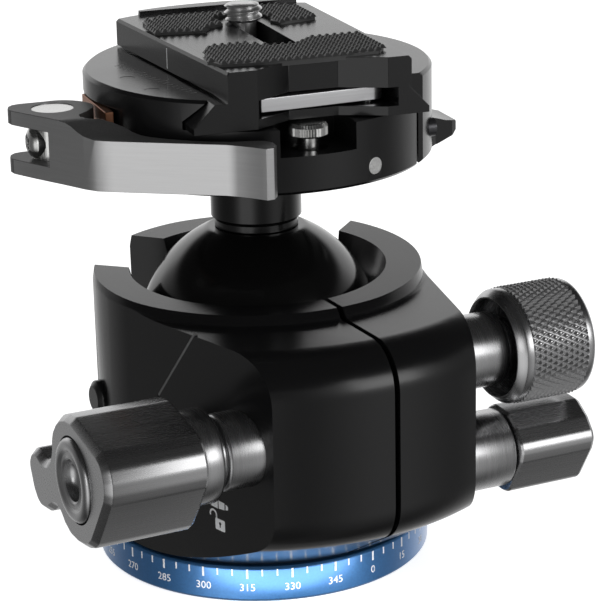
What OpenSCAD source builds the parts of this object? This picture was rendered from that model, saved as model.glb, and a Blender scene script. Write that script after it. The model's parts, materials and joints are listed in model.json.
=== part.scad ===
// Tripod ball head, part frame: mm, +Z up, origin at the bottom centre of the panning base,
// ball axis on Z, split nose of the housing towards -Y, main lock knob towards -X.

/* [Panning base] */
// radius of the graduated panning disc
base_r = 28; // [26:0.5:32]
// thickness of the graduated panning disc
base_h = 6.1; // [5:0.1:8]
// wall radius of the 3/8-16 tripod thread
tripod_r = 4.0; // [3.9:0.05:4.8]
// radius of the hub that turns in the housing
hub_r = 15.2; // [13:0.1:16]

/* [Ball] */
// ball radius
ball_r = 20; // [18:0.5:27]
// height of the ball centre above the base
ball_z = 37.2; // [36:0.1:42]
// stem radius
stem_r = 7.5; // [6:0.1:9]
// stem tilt joint clearance in the drop notches
notch_gap = 0.3; // [0.2:0.05:0.6]

/* [Housing] */
// radius of the round body
body_r = 27.2; // [26:0.1:30]
// radius of the nose front about the ball axis
nose_r = 45.3; // [40:0.1:50]
// inward lean of the two side flats, degrees
flat_lean = 14; // [8:1:20]
// height of the shoulder
shoulder_z = 46.5; // [44:0.1:50]
// height of the collar round the ball
collar_z = 48.1; // [46:0.1:52]
// width of the clamping slit
slit_w = 0.95; // [0.6:0.05:1.6]
// distance of the three knob axes in front of the ball axis
knob_y = -34; // [-36:0.5:-30]

/* [Main lock knob] */
// height of the main lock axis
lock_z = 31.0; // [29:0.1:33]
// radius of the main lock neck
lock_neck_r = 6.1; // [5.5:0.1:6.5]
// radius of the tension dial
dial_r = 6.6; // [6:0.1:7]

/* [Friction knob] */
// height of the friction axis
fric_z = 39.8; // [39:0.1:40]
// radius of the knurled knob
fric_r = 9.5; // [8:0.1:11]
// radius of the friction neck
fric_neck_r = 6.0; // [5:0.1:6.2]

/* [Pan lock knob] */
// height of the pan lock axis
pan_z = 22.7; // [20:0.1:24]
// radius of the pan lock neck
pan_neck_r = 6.35; // [5:0.05:7]

/* [Clamp] */
// turn of the clamp about the stem, degrees
clamp_turn = -7; // [-180:1:180]
// clamp disc radius
disc_r = 28.5; // [26:0.5:32]
// underside of the clamp disc
disc_z0 = 67.8; // [60:0.1:75]
// top of the clamp disc
disc_z1 = 82.8; // [75:0.1:90]
// floor of the dovetail channel
floor_z = 78.1; // [75:0.1:82]
// travel of the moving jaw
jaw_travel = 1.6; // [1:0.1:3]

/* [Quick release plate] */
// width across the dovetail
dove_w = 38.3; // [38:0.1:38.6]
// width of the top slab
slab_w = 30; // [28:0.5:36]
// top face of the plate
plate_z1 = 87.5; // [86:0.1:92]
// radius of the camera screw, 1/4-20
screw_r = 3.175; // [3.175:0.1:4.76]
// height of the camera screw above the plate
screw_h = 4.4; // [4:0.1:5.5]

/* [Hidden] */
$fn = 64;
cav_r = ball_r + 0.1;
hub_z1 = 16.1;
cham_r = 19.2;
slit_x = 1.8;
collar_r = 7.45;
flat_nx = cos(flat_lean);
flat_ny = sin(flat_lean);
piv = [-34.3, -3.5];
lev_z0 = 69.0;
lev_z1 = 79.2;
arm_z1 = 77.0;
bolt_z = 74.0;
dove_cx = 0.95;
dxl = dove_cx - dove_w / 2;
dxr = dove_cx + dove_w / 2;
sxl = -12.8;
sxr = sxl + slab_w;
pl_z0 = 78.3;
pl_z1 = 79.3;
slab_z0 = 82.7;
screw_pos = [1.8, 10];
near_l = -27;
near_m = -23;

// helpers -------------------------------------------------------------

// cylinder along X
module cx(x0, x1, r, y = knob_y, z = 0) {
  translate([x0, y, z]) rotate([0, 90, 0]) cylinder(h = x1 - x0, r = r);
}

// cone along X
module conex(x0, x1, r0, r1, y, z) {
  translate([x0, y, z]) rotate([0, 90, 0]) cylinder(h = x1 - x0, r1 = r0, r2 = r1);
}

// upright cylinder
module cz(z0, z1, r, p = [0, 0]) {
  translate([p[0], p[1], z0]) cylinder(h = z1 - z0, r = r);
}

// upright tube
module tz(z0, z1, ro, ri, p = [0, 0]) {
  difference() {
    cz(z0, z1, ro, p);
    cz(z0 - 1, z1 + 1, ri, p);
  }
}

// box from corner to corner
module bx(a, b) {
  translate(a) cube(b - a);
}

// ring of count places at radius r
module ring_at(count, r, a0) {
  for (i = [0:count - 1]) rotate([0, 0, a0 + i * 360 / count]) translate([r, 0, 0]) children();
}

// countersunk screw pointing down from z1, head radius rh
module csk(z1, l, r, rh) {
  difference() {
    union() {
      translate([0, 0, z1 - (rh - r)]) cylinder(h = rh - r, r1 = r, r2 = rh);
      translate([0, 0, z1 - l]) cylinder(h = l - 0.1, r = r);
    }
    translate([0, 0, z1 - 0.9]) cylinder(h = 2, r = r * 0.72, $fn = 6);
  }
}

// hole for such a screw
module csk_hole(z1, l, r, rh) {
  translate([0, 0, z1 - (rh - r)]) cylinder(h = rh - r + 1, r1 = r, r2 = rh + 1);
  translate([0, 0, z1 - l]) cylinder(h = l, r = r);
}

// clamp-local frame
module cl() {
  rotate([0, 0, clamp_turn]) children();
}

// arc points about c, radius r, from angle a0 to a1 in n steps
function arc(c, r, a0, a1, n) = [for (i = [0:n]) let(a = a0 + (a1 - a0) * i / n) c + r * [cos(a), sin(a)]];

// panning base ---------------------------------------------------------

module pan_base() {
  color([0.10, 0.33, 0.62]) difference() {
    union() {
      translate([0, 0, 0]) cylinder(h = 0.5, r1 = base_r - 0.5, r2 = base_r);
      cz(0.5, base_h - 0.4, base_r);
      translate([0, 0, base_h - 0.4]) cylinder(h = 0.4, r1 = base_r, r2 = base_r - 0.4);
    }
    cz(-1, base_h + 1, 7.05);
    tz(5.4, base_h + 1, 24.1, 17.9);
    mirror([0, 0, 1]) ring_at(4, 11.3, 45) csk_hole(0, 8, 1.55, 2.9);
  }
}

module pan_hub() {
  color([0.62, 0.63, 0.65]) difference() {
    union() {
      cz(base_h, hub_z1 - 0.5, hub_r);
      translate([0, 0, hub_z1 - 0.5]) cylinder(h = 0.5, r1 = hub_r, r2 = hub_r - 0.5);
    }
    cz(base_h - 1, 12.2, 7.05);
    ring_at(4, 11.3, 45) cz(base_h - 1, 11, 1.55);
    ring_at(4, 12.4, 0) cz(11.8, hub_z1 + 1, 1.3);
  }
}

module tripod_insert() {
  color([0.70, 0.70, 0.72]) difference() {
    cz(0, 12, 7.0);
    cz(-1, 11, tripod_r);
  }
}

module base_screws() {
  color([0.25, 0.25, 0.27]) mirror([0, 0, 1]) ring_at(4, 11.3, 45) csk(-0.1, 9.6, 1.5, 2.8);
}

module pan_washer() {
  color([0.90, 0.88, 0.80]) tz(5.45, 6.35, 24, 18);
}

module pan_retainer() {
  color([0.62, 0.63, 0.65]) difference() {
    tz(16.2, 18.2, 17.3, 9.6);
    ring_at(4, 12.4, 0) csk_hole(18.2, 4, 1.35, 2.3);
  }
}

module retainer_screws() {
  color([0.25, 0.25, 0.27]) ring_at(4, 12.4, 0) csk(18.1, 6, 1.25, 2.2);
}

// housing ---------------------------------------------------------------

// outer silhouette turned about the ball axis
module house_turn() {
  sl = 30.2;
  rf = 7.5;
  kz = 6.4 + (nose_r - 27.3) * tan(sl);
  lo = [nose_r - rf, kz + rf * tan((90 - sl) / 2)];
  hi = [nose_r - 7, shoulder_z - 7];
  rotate_extrude($fn = 96) polygon(concat(
    [[0, 6.4], [27.3, 6.4]],
    arc(lo, rf, -90 + sl, 0, 7),
    arc(hi, 7, 0, 90, 8),
    [[28.2, shoulder_z], [27.5, shoulder_z + 0.25], [27.2, shoulder_z + 0.7], [26.3, collar_z], [0, collar_z]]));
}

// plan outline: round body and the tapering nose
module house_plan(z0, z1) {
  s = 42;
  t = [body_r * flat_nx, -body_r * flat_ny];
  f = [t[0] - s * flat_ny, t[1] - s * flat_nx];
  cz(z0, z1, body_r);
  translate([0, 0, z0]) linear_extrude(z1 - z0)
    polygon([[0, 10], [t[0], t[1]], [f[0], f[1]], [-f[0], f[1]], [-t[0], t[1]]]);
}

// drop notch at angle a
module drop(a) {
  w = stem_r + notch_gap;
  rotate([0, 0, a]) {
    translate([12, 0, ball_z]) rotate([0, 90, 0]) cylinder(h = 24, r = w);
    bx([12, -w, ball_z], [36, w, collar_z + 2]);
  }
}

module housing() {
  color([0.05, 0.05, 0.055]) difference() {
    intersection() {
      house_turn();
      house_plan(0, 60);
    }
    translate([0, 0, ball_z]) sphere(r = cav_r, $fn = 96);
    cz(19.0, 31.2, cham_r);
    cz(16.0, 19.1, 17.6);
    cz(5, 16.1, hub_r + 0.1);
    translate([0, 0, 43.2]) cylinder(h = 5, r1 = 19.2, r2 = 21.4);
    drop(45);
    drop(135);
    // slit
    bx([slit_x - slit_w / 2, -50, 5], [slit_x + slit_w / 2, -10, 60]);
    // main lock seat, clearance and threaded end
    cx(-30, -15, lock_neck_r + 0.02, knob_y, lock_z);
    cx(-16, slit_x, 4.3, knob_y, lock_z);
    cx(slit_x - 1, 13.4, 4.1, knob_y, lock_z);
    // friction seat and screw
    cx(16.4, 30, fric_neck_r + 0.02, knob_y, fric_z);
    cx(slit_x, 17, 2.8, knob_y, fric_z);
    cx(-12.4, slit_x + 1, 2.6, knob_y, fric_z);
    // pan lock seat and screw
    cx(15, 30, pan_neck_r + 0.02, knob_y, pan_z);
    cx(slit_x, 16, 3.3, knob_y, pan_z);
    cx(-10.4, slit_x + 1, 3.1, knob_y, pan_z);
    // side plug seat
    cx(-30, -24.5, 3.02, 5, 28.2);
    // relief kerf behind the main lock, running down the left flat
    kerf();
  }
}

// shallow kerf line on the left flat, leaning back as it rises
module kerf() {
  translate([-23.3, -18.85, 40.5]) rotate([0, 0, flat_lean]) rotate([38, 0, 0]) bx([-1.2, -0.2, -8.2], [0.5, 0.2, 8.2]);
}

module ball_seat() {
  color([0.86, 0.85, 0.80]) difference() {
    tz(20.6, 28.5, 19.0, 13.2);
    translate([0, 0, ball_z]) sphere(r = ball_r + 0.06, $fn = 96);
    // split so that it can close on the ball
    bx([slit_x - 0.6, -20, 20], [slit_x + 0.6, -12, 29]);
  }
}

module seat_spring() {
  color([0.60, 0.60, 0.62]) tz(19.1, 20.5, 18.9, 17.7);
}

module lock_bush() {
  color([0.45, 0.45, 0.46]) difference() {
    union() {
      cx(-23.7, -15.1, lock_neck_r, knob_y, lock_z);
      conex(-24.1, -23.7, lock_neck_r - 0.4, lock_neck_r, knob_y, lock_z);
      cx(-25.0, -24.0, lock_neck_r - 0.9, knob_y, lock_z);
    }
    cx(-26, -15, 4.08, knob_y, lock_z);
  }
}

module friction_bush() {
  color([0.45, 0.45, 0.46]) difference() {
    union() {
      cx(16.5, 25.0, fric_neck_r, knob_y, fric_z);
      conex(25.0, 25.4, fric_neck_r, fric_neck_r - 0.4, knob_y, fric_z);
      cx(25.3, 28, fric_neck_r - 1.2, knob_y, fric_z);
    }
    cx(16, 31, 2.58, knob_y, fric_z);
  }
}

module pan_bush() {
  color([0.45, 0.45, 0.46]) difference() {
    cx(15.1, 26.1, pan_neck_r, knob_y, pan_z);
    cx(15, 27, 3.08, knob_y, pan_z);
  }
}

module side_plug() {
  color([0.45, 0.45, 0.46]) {
    cx(-27.6, -24.6, 3.0, 5, 28.2);
    conex(-28.3, -27.6, 2.1, 3.0, 5, 28.2);
  }
}

// main lock --------------------------------------------------------------

// section of the winged knob in (Y, Z) about its axis: round boss, short near wing and a long
// far wing set off by a finger hollow above and below
module lock_sec() {
  near = [[0.5, 9.6], [-9.6, 7.6], [-11.2, 6.9], [-12.4, 5.6], [-13.2, 3.6], [-13.2, 1.9], [-12.6, 0.2],
    [-9.5, -4.2], [-6.7, -8.0], [-5.2, -9.2], [-3.0, -10.0], [-0.5, -10.4], [2.7, -10.3], [5.2, -9.3]];
  far = [[6.8, -8.0], [8.2, -7.5], [9.8, -8.0], [11.6, -9.2], [13.4, -10.0], [15.4, -10.2], [17.0, -9.6],
    [18.6, -8.0], [20.2, -4.6], [20.2, -3.2], [19.2, -1.6], [17.6, -0.7], [16.0, -0.9], [14.2, -1.5],
    [12.4, -1.4], [10.8, -0.2], [9.8, 1.8]];
  boss = [[9.7, 3.6], [9.0, 5.4], [7.4, 7.2], [5.6, 8.5], [3.4, 9.3]];
  polygon(concat(near, far, boss));
}

// places a (Y, Z) section at x0 and pulls it along +X by l, the far end scaled by k
module along_x(x0, l, y, z, k = 1) {
  translate([x0, y, z]) rotate([90, 0, 90]) linear_extrude(l, scale = k) children();
}

// the same pulled along -X
module along_back(x0, l, y, z, k = 1) {
  translate([x0, y, z]) mirror([1, 0, 0]) rotate([90, 0, 90]) linear_extrude(l, scale = k) children();
}

module lock_bolt() {
  color([0.55, 0.55, 0.57]) difference() {
    union() {
      cx(-32, 12.8, 4.0, knob_y, lock_z);
      cx(-35, -31.6, 6.0, knob_y, lock_z);
    }
    translate([-35.5, knob_y, lock_z]) rotate([0, 90, 0]) cylinder(h = 3.0, r = 2.9, $fn = 6);
  }
}

module lock_collar() {
  color([0.42, 0.42, 0.43]) difference() {
    union() {
      conex(-30.2, -29.8, collar_r - 0.4, collar_r, knob_y, lock_z);
      cx(-29.8, -25.5, collar_r, knob_y, lock_z);
      conex(-25.5, -25.1, collar_r, collar_r - 0.4, knob_y, lock_z);
    }
    cx(-31, -25, 4.05, knob_y, lock_z);
  }
}

module lock_knob() {
  color([0.42, 0.42, 0.43]) difference() {
    union() {
      along_back(-45.7, 1.1, knob_y, lock_z, 0.93) lock_sec();
      along_x(-45.7, 14.8, knob_y, lock_z) lock_sec();
      along_x(-30.9, 0.4, knob_y, lock_z, 0.97) lock_sec();
      cx(-30.6, -30.3, collar_r - 0.8, knob_y, lock_z);
    }
    cx(-33, -30, 4.05, knob_y, lock_z);
    cx(-39.2, -31.6, 6.2, knob_y, lock_z);
    cx(-50, -39.1, dial_r + 0.2, knob_y, lock_z);
  }
}

module disc_springs() {
  color([0.60, 0.60, 0.62]) for (i = [0:3]) difference() {
    conex(-36.0 - i, -35.1 - i, i % 2 == 0 ? 5.8 : 5.3, i % 2 == 0 ? 5.3 : 5.8, knob_y, lock_z);
    cx(-40, -33, 3.3, knob_y, lock_z);
  }
}

// turned dial: a rounded rim round a shallow cup with a recess at its centre
module tension_dial() {
  color([0.40, 0.40, 0.41]) translate([0, knob_y, lock_z]) rotate([0, 90, 0]) rotate_extrude()
    polygon([[0, -39.3], [dial_r, -39.3], [dial_r, -46.9], [dial_r - 0.2, -47.3], [dial_r - 0.6, -47.6],
      [dial_r - 1.2, -47.6], [dial_r - 1.8, -47.3], [dial_r - 2.3, -46.9], [3.9, -46.9], [3.6, -46.6], [3.4, -45.4],
      [1.6, -45.2], [1.2, -44.6], [0, -44.6]]);
}

// friction knob -----------------------------------------------------------

module friction_screw() {
  color([0.55, 0.55, 0.57]) cx(-12, 36.4, 2.5, knob_y, fric_z);
}

module friction_knob() {
  color([0.42, 0.42, 0.43]) difference() {
    union() {
      conex(25.0, 26.3, fric_r - 1.3, fric_r - 0.2, knob_y, fric_z);
      cx(26.3, 27.7, fric_r - 0.2, knob_y, fric_z);
      cx(27.7, 37.4, fric_r, knob_y, fric_z);
      cx(37.4, 38.3, fric_r - 0.15, knob_y, fric_z);
      conex(38.3, 38.9, fric_r - 0.15, fric_r - 0.8, knob_y, fric_z);
    }
    cx(24, 30.4, fric_r - 1.6, knob_y, fric_z);
    cx(30, 36.5, 2.52, knob_y, fric_z);
  }
}

// pan lock -------------------------------------------------------------------

module pan_sec() {
  p = [[2.0, 6.65], [-2.3, 6.45], [-5.2, 4.55], [-6.9, 2.5], [-7.35, 1.2], [-6.8, -0.7], [-3.2, -6.6],
    [-2.3, -7.2], [-0.9, -7.45], [2.6, -7.2], [5.6, -5.2], [7.0, -2.7], [7.3, -1.2], [6.7, 0.9], [5.0, 4.3], [3.6, 5.7]];
  polygon(p);
}

module pan_screw() {
  color([0.55, 0.55, 0.57]) cx(-10, 37, 3.0, knob_y, pan_z);
}

module pan_knob() {
  color([0.42, 0.42, 0.43]) difference() {
    union() {
      along_back(26.9, 0.5, knob_y, pan_z, 0.94) pan_sec();
      along_x(26.9, 12.7, knob_y, pan_z) pan_sec();
      along_x(39.6, 0.7, knob_y, pan_z, 0.91) pan_sec();
    }
    cx(26, 37.1, 3.02, knob_y, pan_z);
  }
}

// ball and stem ---------------------------------------------------------------

module ball() {
  color([0.03, 0.03, 0.03]) difference() {
    translate([0, 0, ball_z]) sphere(r = ball_r, $fn = 96);
    cz(ball_z + 2, 60, 5.05);
    cz(55.6, 60, 7.9);
  }
}

module stem() {
  color([0.04, 0.04, 0.04]) difference() {
    union() {
      cz(ball_z + 3, 56, 5.0);
      cz(55.75, 57.0, 6.9);
      translate([0, 0, 56.9]) cylinder(h = 0.7, r1 = 6.9, r2 = stem_r);
      cz(57.5, disc_z0, stem_r);
    }
    cz(54, disc_z0 + 1, 2.55);
    // driver flats hidden under the clamp
    cz(disc_z0 - 1.2, disc_z0 + 1, 3.4);
  }
}

module clamp_screw() {
  color([0.30, 0.30, 0.32]) difference() {
    union() {
      translate([0, 0, 67.9]) cylinder(h = 2.4, r1 = 2.5, r2 = 4.9);
      cz(54.6, 68, 2.5);
      cz(70.3, 70.6, 4.9);
    }
    translate([0, 0, 68.4]) cylinder(h = 3, r = 2.0, $fn = 6);
  }
}

// clamp -------------------------------------------------------------------------

module clamp_body() {
  color([0.05, 0.05, 0.055]) cl() difference() {
    union() {
      translate([0, 0, disc_z0]) cylinder(h = 0.5, r1 = disc_r - 0.5, r2 = disc_r, $fn = 96);
      translate([0, 0, disc_z0 + 0.5]) cylinder(h = disc_z1 - disc_z0 - 1.0, r = disc_r, $fn = 96);
      translate([0, 0, disc_z1 - 0.5]) cylinder(h = 0.5, r1 = disc_r, r2 = disc_r - 0.5, $fn = 96);
    }
    // dovetail channel along local Y, open to the moving jaw
    translate([0, 40, 0]) rotate([90, 0, 0]) linear_extrude(80)
      polygon([[dxl - 0.3, floor_z], [dxl - 0.3, pl_z1 + 0.1], [dxl + 3.3, disc_z1 + 0.1], [dxl + 3.3, 90],
        [40, 90], [40, floor_z]]);
    // right side cut away for the moving jaw
    bx([20.7, -40, 60], [40, 40, 90]);
    // screw to the stem
    translate([0, 0, 67.85]) cylinder(h = 2.6, r1 = 2.55, r2 = 5.15);
    cz(66, 70, 2.55);
    cz(70.4, 90, 5.2);
    // tension bolt passage
    cx(-40, 30, 2.5, piv[1], bolt_z);
    // guide pin holes
    cx(8, 30, 1.6, -14, 72.6);
    cx(8, 30, 1.6, 10, 72.6);
    // flat with the wear plate under the rim, room for the fork
    bx([-40, -12, 60], [-27.0, 12, 79.5]);
    bx([-27.1, -10.75, 68.6], [-26.2, 3.95, 79.5]);
    // front recess with the safety plunger
    bx([-5, -40, 73.8], [7.6, -17.2, 90]);
    cz(60, 90, 1.8, [1.3, -23]);
    cz(71.2, 90, 3.0, [1.3, -23]);
    // wall pin
    translate([11.2, -26.2, 70.5]) rotate([0, 0, 23.1]) rotate([90, 0, 0]) translate([0, 0, -6])
      cylinder(h = 12, r = 1.41);
    // two plugged cross holes in the left land
    cz(76.6, 90, 1.21, [-21.9, -3.4]);
    cz(76.6, 90, 1.21, [-20.7, -13.2]);
    // underside pocket that lightens the disc
    tz(60, 69.4, 24, 12);
  }
}

module wear_plate() {
  color([0.72, 0.42, 0.28]) cl() difference() {
    bx([-27.65, -10.6, 68.8], [-26.25, 3.8, 79.3]);
    cx(-40, 0, 2.6, piv[1], bolt_z);
  }
}

module wall_pin() {
  color([0.75, 0.75, 0.76]) cl() translate([11.2, -26.2, 70.5]) rotate([0, 0, 23.1]) rotate([90, 0, 0])
    translate([0, 0, -5.5]) cylinder(h = 5.45, r = 1.4);
}

module land_plugs() {
  color([0.08, 0.08, 0.085]) cl() {
    cz(76.7, 82.75, 1.2, [-21.9, -3.4]);
    cz(76.7, 82.75, 1.2, [-20.7, -13.2]);
  }
}

module plunger_seat() {
  color([0.70, 0.70, 0.72]) cl() difference() {
    tz(71.2, 73.2, 2.98, 1.79, [1.3, -23]);
    translate([1.3, -23, 72.2]) cylinder(h = 1.1, r1 = 1.79, r2 = 2.7);
  }
}

module safety_plunger() {
  color([0.75, 0.75, 0.76]) cl() {
    cz(75.7, 77.5, 3.1, [1.3, -23]);
    translate([1.3, -23, 77.5]) cylinder(h = 0.4, r1 = 3.1, r2 = 2.7);
    cz(70.2, 75.8, 1.7, [1.3, -23]);
  }
}

// moving jaw --------------------------------------------------------------------

module moving_jaw() {
  color([0.05, 0.05, 0.055]) cl() difference() {
    union() {
      intersection() {
        union() {
          translate([0, 0, 68.2]) cylinder(h = 0.5, r1 = 28.5, r2 = 29, $fn = 96);
          translate([0, 0, 68.7]) cylinder(h = disc_z1 - 69.2, r = 29, $fn = 96);
          translate([0, 0, disc_z1 - 0.5]) cylinder(h = 0.5, r1 = 29, r2 = 28.5, $fn = 96);
        }
        translate([0, 18.8, 0]) rotate([90, 0, 0]) linear_extrude(37.6)
          polygon([[21.3, 60], [40, 60], [40, 90], [sxr + 0.3, 90], [sxr + 0.3, pl_z1 + dxr - sxr],
            [dxr + 0.3, pl_z1], [dxr + 0.3, floor_z + 0.3], [21.3, floor_z + 0.3]]);
      }
      nub();
    }
    cx(15, 27, 2.27, piv[1], bolt_z);
    cx(15, 26, 1.52, -14, 72.6);
    cx(15, 26, 1.52, 10, 72.6);
  }
}

// thumb tab on the jaw
module nub() {
  intersection() {
    translate([0, 8, 0]) rotate([90, 0, 0]) linear_extrude(16)
      polygon([[28.2, 66.9], [30.4, 67.2], [33.4, 68.3], [34.4, 69.2], [34.5, 70.0], [34.0, 70.7], [32.0, 71.0],
        [28.2, 72.2]]);
    translate([0, 0, 60]) linear_extrude(20)
      polygon([[27.8, -6.2], [28.6, -6.0], [30.0, -4.9], [33.2, -4.3], [34.2, -3.5], [34.5, -2.2], [34.5, 2.2],
        [34.2, 3.5], [33.2, 4.3], [30.0, 4.9], [28.6, 6.0], [27.8, 6.2]]);
  }
}

module guide_pins() {
  color([0.70, 0.70, 0.72]) cl() {
    cx(12, 25.9, 1.5, -14, 72.6);
    cx(12, 25.9, 1.5, 10, 72.6);
  }
}

module tension_bolt() {
  color([0.62, 0.62, 0.64]) cl() cx(-36.4, 26.9, 2.25, piv[1], bolt_z);
}

module adjuster_head() {
  color([0.66, 0.66, 0.68]) cl() difference() {
    union() {
      cx(-37.4, -35.1, 2.65, piv[1], bolt_z);
      conex(-38.2, -37.4, 2.1, 2.65, piv[1], bolt_z);
      conex(-38.6, -38.2, 1.4, 2.1, piv[1], bolt_z);
    }
    translate([-40, piv[1], bolt_z]) rotate([0, 90, 0]) cylinder(h = 3.0, r = 1.35, $fn = 6);
    cx(-36.5, -35, 2.26, piv[1], bolt_z);
  }
}

module barrel_pin() {
  color([0.72, 0.72, 0.74]) cl() difference() {
    cz(69.1, 79.1, 3.3, piv);
    cx(-40, -20, 2.27, piv[1], bolt_z);
    cx(-40, -35.05, 2.67, piv[1], bolt_z);
  }
}

// lever ---------------------------------------------------------------------------

// cam radius at angle a; it falls in step with the jaw as the lever opens
function cam_r(a) = 6.45 - jaw_travel * max(0, min(90, a)) / 90;

// plan outline: spiral cam, flat rear face, fork, handle and hooked tip
module lever_plan() {
  cam = [for (a = [-20:5:90]) piv + cam_r(a) * [cos(a), sin(a)]];
  back = [[piv[0] - 4.2, piv[1] + 4.85], [piv[0] - 5.5, piv[1] + 4.45], [-40.6, 0.0], [-41.0, -1.4], [-40.8, -2.9]];
  outer = [[-38.3, -7.4], [-35.4, -12.2], [-32.9, -16.6], [-31.4, -18.5], [-29.0, -20.0], [-13.9, -28.9],
    [-12.5, -30.1], [-11.5, -31.9], [-11.2, -33.1], [-10.5, -33.9], [-9.3, -33.7], [-8.4, -32.2], [-8.3, -30.4]];
  inner = arc([0, 0], 30.2, 252.5, 211, 12);
  polygon(concat(cam, back, outer, inner, [[-28.6, -13.6], [-31.0, -12.4], [-31.8, -11.2], [-31.5, -9.6], [-30.0, -8.2]]));
}

// side outline in (Y, Z): tall fork, lower handle, an S-curve between
module lever_side() {
  translate([-60, 0, 0]) rotate([90, 0, 90]) linear_extrude(60)
    polygon([[10, lev_z0], [10, lev_z1], [-11.8, lev_z1], [-13.2, lev_z1 - 0.15], [-14.4, lev_z1 - 0.6],
      [-15.6, lev_z1 - 1.3], [-16.8, lev_z1 - 1.8], [-18.2, arm_z1 + 0.08], [-19.6, arm_z1], [-40, arm_z1],
      [-40, lev_z0]]);
}

module lever() {
  color([0.42, 0.42, 0.43]) cl() difference() {
    intersection() {
      translate([0, 0, lev_z0]) linear_extrude(lev_z1 - lev_z0) lever_plan();
      lever_side();
    }
    // slot between the ears for the bolt and the domed head
    bx([-45, -10, 71.4], [-26, 12, 76.9]);
    cz(60, 90, 3.35, piv);
  }
}

// quick release plate -----------------------------------------------------------------

// plan outline clipped to the round far end and the near tabs
module plate_plan(z0, z1, grow = 0) {
  translate([0, 0, z0]) linear_extrude(z1 - z0)
    polygon(concat([[dxl - 1, near_l], [-8.1, near_l], [-1.7, near_m], [6.3, near_m], [13.3, -26.5], [dxr + 1, -26.5],
      [dxr + 1, 15]], arc([0, 0], 27.6, 45, 135, 14), [[dxl - 1, 15]]));
}

module plate() {
  color([0.09, 0.09, 0.095]) cl() difference() {
    union() {
      intersection() {
        translate([0, 40, 0]) rotate([90, 0, 0]) linear_extrude(80)
          polygon([[dxl, pl_z0], [dxr, pl_z0], [dxr, pl_z1], [dxr - 3.3, pl_z1 + 3.4], [sxr, pl_z1 + 3.4],
            [sxr, plate_z1 - 0.5], [sxr - 0.5, plate_z1], [sxl + 0.5, plate_z1], [sxl, plate_z1 - 0.5],
            [sxl, pl_z1 + 3.4], [dxl + 3.3, pl_z1 + 3.4], [dxl, pl_z1]]);
        plate_plan(70, 95);
      }
      // raised lip along the far arc
      intersection() {
        bx([sxl + 0.3, 22.9, plate_z1 - 1], [sxr - 0.3, 30, plate_z1 + 0.7]);
        plate_plan(70, 95);
      }
    }
    // slot of the swing-out bar
    bx([-7.8, -30, 79.8], [15.0, -17.6, slab_z0]);
    // camera screw slot and the pocket for its head
    cz(80, 95, 2.35, screw_pos);
    cz(80, 95, 2.35, [screw_pos[0], -9]);
    bx([screw_pos[0] - 2.35, -9, 80], [screw_pos[0] + 2.35, screw_pos[1], 95]);
    cz(77, 84.4, 7.3, screw_pos);
    cz(77, 84.4, 7.3, [screw_pos[0], -8]);
    bx([screw_pos[0] - 7.3, -8, 77], [screw_pos[0] + 7.3, screw_pos[1], 84.4]);
    // pad pockets
    pad_shape(near_pad(), plate_z1 - 0.5, plate_z1 + 1);
    pad_shape(far_pad(), plate_z1 - 0.5, plate_z1 + 1);
    // pin of the swing-out bar
    cz(79, 84.5, 1.02, [12.0, -20.6]);
  }
}

function near_pad() = [[-12.0, -11.7], [-9.6, -7.8], [-3.8, -7.1], [-1.0, -11.9], [4.4, -11.9], [6.4, -10.9],
  [7.9, -7.3], [14.3, -7.6], [16, -9.2], [15.4, -19.2], [13.4, -21.9], [3.8, -22.4], [-5.8, -22.2], [-11.6, -21.8]];
function far_pad() = [[-12.0, 18], [-12.2, 6.3], [-6.1, 5.4], [-4.5, 8.3], [0.8, 8.6], [5, 6.6], [7.8, 7.2],
  [15.4, 5.8], [15.4, 19.0], [9.0, 22.4], [2.7, 22.6], [-0.6, 20.6], [-4.9, 21.7], [-9.3, 21.6]];

module pad_shape(p, z0, z1) {
  difference() {
    translate([0, 0, z0]) linear_extrude(z1 - z0) polygon(p);
    cz(z0 - 1, z1 + 1, 4.7, screw_pos);
  }
}

module pad_near() {
  color([0.05, 0.05, 0.05]) cl() union() {
    pad_shape(near_pad(), plate_z1 - 0.5, plate_z1 + 0.45);
    intersection() {
      pad_shape(near_pad(), plate_z1 + 0.4, plate_z1 + 1.0);
      for (i = [-9:9]) bx([-14, -15 + i * 2.0 - 0.55, plate_z1], [18, -15 + i * 2.0 + 0.55, plate_z1 + 0.95]);
    }
  }
}

module pad_far() {
  color([0.05, 0.05, 0.05]) cl() union() {
    pad_shape(far_pad(), plate_z1 - 0.5, plate_z1 + 0.45);
    intersection() {
      pad_shape(far_pad(), plate_z1 + 0.4, plate_z1 + 1.0);
      for (i = [-9:9]) bx([-14, 14 + i * 2.0 - 0.55, plate_z1], [18, 14 + i * 2.0 + 0.55, plate_z1 + 0.95]);
    }
  }
}

module strap_pin() {
  color([0.70, 0.70, 0.72]) cl() cz(79.1, 84.4, 1.0, [12.0, -20.6]);
}

module strap_bar() {
  color([0.66, 0.66, 0.67]) cl() difference() {
    union() {
      bx([-6.9, -22.9, 80.1], [12.0, -18.3, 82.4]);
      cz(80.1, 82.4, 2.3, [12.0, -20.6]);
    }
    cz(79, 84, 1.08, [12.0, -20.6]);
  }
}

module screw_clip() {
  color([0.60, 0.60, 0.62]) cl() tz(83.6, 84.2, 6.0, 2.26, screw_pos);
}

module camera_screw() {
  color([0.75, 0.75, 0.76]) cl() difference() {
    union() {
      cz(79.4, 83.4, 6.6, screw_pos);
      cz(83.3, 88.1, 2.2, screw_pos);
      cz(87.8, plate_z1 + screw_h - 0.5, screw_r, screw_pos);
      translate([screw_pos[0], screw_pos[1], plate_z1 + screw_h - 0.5]) cylinder(h = 0.5, r1 = screw_r, r2 = screw_r - 0.5);
    }
    bx([screw_pos[0] - 7, screw_pos[1] - 0.8, 79], [screw_pos[0] + 7, screw_pos[1] + 0.8, 80.8]);
  }
}

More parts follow.
